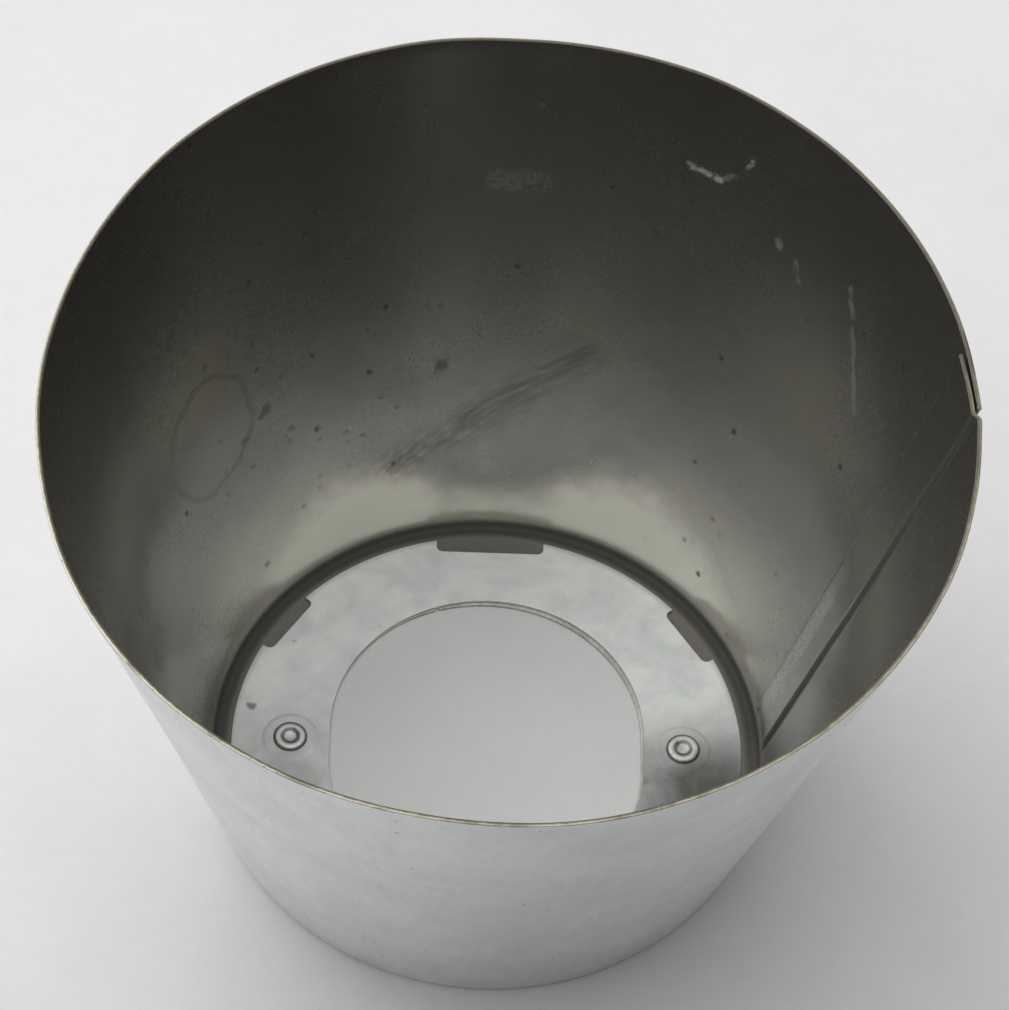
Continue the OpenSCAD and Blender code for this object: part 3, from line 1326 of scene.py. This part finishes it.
    def merge_slivers(self) -> None:
        """Merge the slivers that rounding the edges leaves at the lap's lower corner."""
        bench = Bench.again(self.wall)
        corner = Vector(self.squeezed(self.lap_end, self.lap_low, self.inset))
        bench.select(lambda co, i: (co - corner).length < 2.5)
        bpy.ops.mesh.remove_doubles(threshold=0.02 * MM)
        bpy.ops.mesh.select_all(action="SELECT")
        bpy.ops.mesh.remove_doubles(threshold=0.002 * MM)
        bench.done()

    def build(self) -> None:
        """Build and finish every piece of the cup."""
        self.build_wall()
        self.build_beads()
        self.build_fillet()
        self.finish()


@dataclass
class Foot:
    """Notched ring, split collar and the two rivets that hold them together. Millimetres."""

    ring_r: float = 39.1
    collar_r: float = 33.1
    sheet: float = 0.5
    hole_w: float = 48.2
    hole_extra: float = 5.4
    notches: tuple[tuple[float, float, float], ...] = (
        (90, 17, 3),
        (270, 17, 3),
        (34, 11, 2),
        (146, 11, 2),
        (214, 11, 2),
        (326, 11, 2),
    )
    shift: tuple[float, float] = (-0.4, -0.5)
    joint_at: float = 108.0
    joint_w: float = 0.6
    rivet_x: float = 30.1
    pad_r: float = 4.5
    pad_h: float = 0.25
    head_r: float = 2.6
    hole_r: float = 1.54
    notch_r: float = 1.0
    through: float = 5.0
    pieces: list[bpy.types.Object] = field(default_factory=list)

    @classmethod
    def from_frame(cls) -> Foot:
        """Take the sizes from the fixed frame.

        Returns:
            The foot, not yet built.
        """
        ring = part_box("base_ring")
        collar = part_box("collar_ring")
        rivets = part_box("rivets")
        return cls(
            ring_r=(ring[1].x - ring[0].x) / 2 / MM,
            collar_r=(collar[1].x - collar[0].x) / 2 / MM,
            rivet_x=rivets[1].x / MM - cls.head_r,
        )

    def oblong(self, name: str, at: tuple[float, float]) -> bpy.types.Object:
        """Tool for the opening.

        Args:
            name: The tool's name.
            at: Its centre.

        Returns:
            The tool.
        """
        bench = Bench.disc(name, self.hole_w / 2, (at[0], at[1], -2), 192)
        bench.select(lambda co, i: co.y > at[1] + 0.01)
        bench.move((0, self.hole_extra / 2, 0))
        bench.select(lambda co, i: co.y < at[1] - 0.01)
        bench.move((0, -self.hole_extra / 2, 0))
        bpy.ops.mesh.select_mode(type=Pick.FACES.value)
        bpy.ops.mesh.select_all(action="SELECT")
        bench.extrude((0, 0, self.through))
        bench.weld()
        return bench.done()

    def notch(self, degrees: float, wide: float, deep: float) -> bpy.types.Object:
        """Tool for one notch with rounded inner corners.

        Args:
            degrees: Its angle from +X.
            wide: Its width.
            deep: Its depth.

        Returns:
            The tool.
        """
        clear_bench()
        reach = deep + 2
        bpy.ops.mesh.primitive_cube_add(size=1, location=((self.ring_r - deep + reach / 2) * MM, 0, 0))
        bpy.context.object.scale = (reach * MM, wide * MM, 6 * MM)
        bench = Bench("notch_tool")
        inner = self.ring_r - deep
        bench.select(lambda co, i: abs(co.x - inner) < 0.01 and abs(co.z) < 0.01, Pick.EDGES)
        bpy.ops.mesh.bevel(offset=self.notch_r * MM, segments=5)
        bpy.ops.mesh.select_all(action="SELECT")
        bench.turn(degrees)
        return bench.done()

    def pad(self, side: int) -> bpy.types.Object:
        """Raised pad round a rivet.

        Args:
            side: -1 or 1.

        Returns:
            The pad, to be fused on.
        """
        top = 2 * self.sheet
        bench = Bench.disc(f"pad_{side}", self.pad_r, (side * self.rivet_x, 0, top - 0.2), 64)
        bench.extrude((0, 0, 0.2))
        bench.extrude((0, 0, self.pad_h * 0.5))
        bench.scale((0.93, 0.93, 1), (side * self.rivet_x, 0, 0))
        bench.extrude((0, 0, self.pad_h * 0.5))
        bench.scale((0.86, 0.86, 1), (side * self.rivet_x, 0, 0))
        bench.weld()
        return bench.done()

    def drill(self, side: int) -> bpy.types.Object:
        """Tool for a rivet hole.

        Args:
            side: -1 or 1.

        Returns:
            The tool.
        """
        bench = Bench.disc(f"drill_{side}", self.hole_r, (side * self.rivet_x, 0, -2), 48)
        bench.extrude((0, 0, self.through))
        bench.weld()
        return bench.done()

    def build_ring(self) -> None:
        """Cut the ring's opening and notches and raise its pads."""
        bench = Bench.disc("ring_plate", self.ring_r, (0, 0, self.sheet), 240)
        bench.extrude((0, 0, self.sheet))
        bench.weld()
        ring = bench.done()
        tools = [self.oblong("opening", (0, 0))]
        tools += [self.notch(*notch) for notch in self.notches]
        combine(ring, tools, Cut.AWAY)
        combine(ring, [self.pad(-1), self.pad(1)], Cut.ON)
        combine(ring, [self.drill(-1), self.drill(1)], Cut.AWAY)
        soften(ring, 0.12, 2, 25)
        dress(ring, [RingTin().make()])
        self.keep(ring, "base_ring")

    def build_collar(self) -> None:
        """Cut the collar's opening, its open joint and its rivet holes."""
        bench = Bench.disc("collar", self.collar_r, (0, 0, 0), 240)
        bench.extrude((0, 0, self.sheet))
        bench.weld()
        collar = bench.done()
        clear_bench()
        bpy.ops.mesh.primitive_cube_add(size=1, location=(30 * MM, 0, 0))
        bpy.context.object.scale = (30 * MM, self.joint_w * MM, 6 * MM)
        saw = Bench("saw")
        bpy.ops.mesh.select_all(action="SELECT")
        saw.turn(self.joint_at)
        tools = [self.oblong("collar_opening", self.shift), saw.done(), self.drill(-1), self.drill(1)]
        combine(collar, tools, Cut.AWAY)
        soften(collar, 0.1, 2, 35)
        dress(collar, [CollarTin().make()])
        self.keep(collar, "collar_ring")

    def build_rivets(self) -> None:
        """Turn one dimpled rivet and copy it to the other side."""
        top = 2 * self.sheet + self.pad_h
        line = [
            (0.0, 0.0),
            (1.3, 0.0),
            (1.48, 0.08),
            (1.5, 0.2),
            (1.5, top),
            (2.42, top),
            (self.head_r, top + 0.1),
            (2.56, top + 0.26),
            (2.36, top + 0.42),
            (2.0, top + 0.5),
            (1.5, top + 0.49),
            (1.22, top + 0.4),
            (1.02, top + 0.27),
            (0.7, top + 0.22),
            (0.0, top + 0.24),
        ]
        bench = Bench.point("rivet_left", (line[0][0], 0, line[0][1]))
        for (r0, z0), (r1, z1) in zip(line, line[1:]):
            bench.extrude((r1 - r0, 0, z1 - z0))
        bpy.ops.mesh.select_all(action="SELECT")
        bench.spin(360, 48)
        bench.weld()
        bench.move((-self.rivet_x, 0, 0))
        left = bench.done()
        bpy.ops.object.shade_smooth_by_angle(angle=math.radians(SMOOTH_BELOW))
        take(left)
        bpy.ops.object.duplicate()
        right = bpy.context.object
        right.name = right.data.name = "rivet_right"
        bpy.ops.object.mode_set(mode="EDIT")
        bpy.ops.mesh.select_all(action="SELECT")
        bpy.ops.transform.translate(value=(2 * self.rivet_x * MM, 0, 0))
        bpy.ops.object.mode_set(mode="OBJECT")
        steel = RivetSteel().make()
        for rivet in (left, right):
            dress(rivet, [steel])
            self.keep(rivet, "rivets")

    def keep(self, piece: bpy.types.Object, node: str) -> None:
        """Set a finished piece in the frame and list it.

        Args:
            piece: The piece.
            node: The node it stands for.
        """
        set_in(piece, node)
        self.pieces.append(piece)

    def build(self) -> None:
        """Build and dress every piece of the foot."""
        self.build_ring()
        self.build_collar()
        self.build_rivets()


# ------------------------------------------------------------------------ studio


@dataclass
class Studio:
    """Table, light and camera."""

    rim_z: float = 0.087
    tilt: float = 53.58
    roll: float = 4.046
    spin: float = -2.6
    lens: float = 124.95
    shift: float = 0.003
    eye: Point = (-0.000354, -0.289433, 0.368129)
    window: Point = (-0.42, 0.46, 0.78)
    gloom: float = 0.06
    glare: float = 1.06
    ceiling: float = 0.46
    spread: tuple[float, float] = (0.02, 0.95)

    def table(self) -> None:
        """Lay the table."""
        clear_bench()
        bpy.ops.mesh.primitive_plane_add(size=6.0)
        floor = bpy.context.object
        floor.name = "table"
        dress(floor, [Table().make()])

    @staticmethod
    def lamp(name: str, at: Point, aim: Point, size: tuple[float, float], power: float, tint: Point) -> None:
        """Hang one soft light.

        Args:
            name: The light's name.
            at: Where it hangs, in metres.
            aim: What it points at.
            size: Its width and height.
            power: Its power in watts.
            tint: Its colour.
        """
        data = bpy.data.lights.new(name, "AREA")
        data.shape = "RECTANGLE"
        data.size, data.size_y = size
        data.energy = power
        data.color = tint
        lamp = bpy.data.objects.new(name, data)
        bpy.context.scene.collection.objects.link(lamp)
        lamp.location = at
        lamp.rotation_euler = (Vector(aim) - Vector(at)).to_track_quat("-Z", "Y").to_euler()

    def lights(self) -> None:
        """Hang the lights and set the room's own light."""
        self.lamp("window", (-0.75, 0.75, 0.95), (0, 0, 0), (1.1, 1.1), 6.0, (1.0, 1.0, 0.98))
        world = bpy.data.worlds.new("room")
        bpy.context.scene.world = world
        world.use_nodes = True
        world.node_tree.nodes.clear()
        p = Paint("room", world.node_tree)
        toward = p.add("ShaderNodeTexCoord", {}, {}).outputs["Generated"]
        glow = p.measure("DOT_PRODUCT", toward, tuple(Vector(self.window).normalized()))
        high = p.measure("DOT_PRODUCT", toward, (0.0, 0.0, 1.0)).ease(0.62, 0.98)
        level = self.gloom + (self.glare - self.gloom) * glow.ease(*self.spread) + self.ceiling * high
        sky = p.add("ShaderNodeBackground", {}, {0: rgb(1, 1, 1), 1: level})
        p.add("ShaderNodeOutputWorld", {}, {0: sky.outputs[0]})

    def camera(self) -> None:
        """Set up the camera."""
        data = bpy.data.cameras.new("camera")
        data.lens = self.lens
        data.sensor_width = 36.0
        data.shift_x = self.shift
        data.clip_start = 0.01
        camera = bpy.data.objects.new("camera", data)
        bpy.context.scene.collection.objects.link(camera)
        tilt, roll = math.radians(self.tilt), math.radians(self.roll)
        ahead = Vector((0, math.cos(tilt), -math.sin(tilt)))
        right = Vector((1, 0, 0))
        up = right.cross(ahead)
        side = math.cos(roll) * right + math.sin(roll) * up
        top = -math.sin(roll) * right + math.cos(roll) * up
        turn = Matrix.Rotation(math.radians(self.spin), 4, "Z")
        place = Matrix((side, top, -ahead)).transposed().to_4x4()
        place.translation = Vector(self.eye) + Vector((0, 0, self.rim_z))
        camera.matrix_world = turn @ place
        bpy.context.scene.camera = camera

    def build(self) -> None:
        """Set up everything round the funnel."""
        self.table()
        self.lights()
        self.camera()
        bpy.context.scene.view_settings.view_transform = "Standard"


def main() -> None:
    """Build the funnel and its studio round the fixed frame."""
    logging.basicConfig(level=logging.INFO, format="%(name)s: %(message)s")
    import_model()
    cup = Cup.from_frame()
    cup.build()
    for piece in (cup.wall, cup.beads, cup.fillet):
        log.info("%s: %d faces", piece.name, len(piece.data.polygons))
    foot = Foot.from_frame()
    foot.build()
    for piece in foot.pieces:
        log.info("%s: %d faces", piece.name, len(piece.data.polygons))
    Studio().build()


if __name__ == "__main__":
    main()
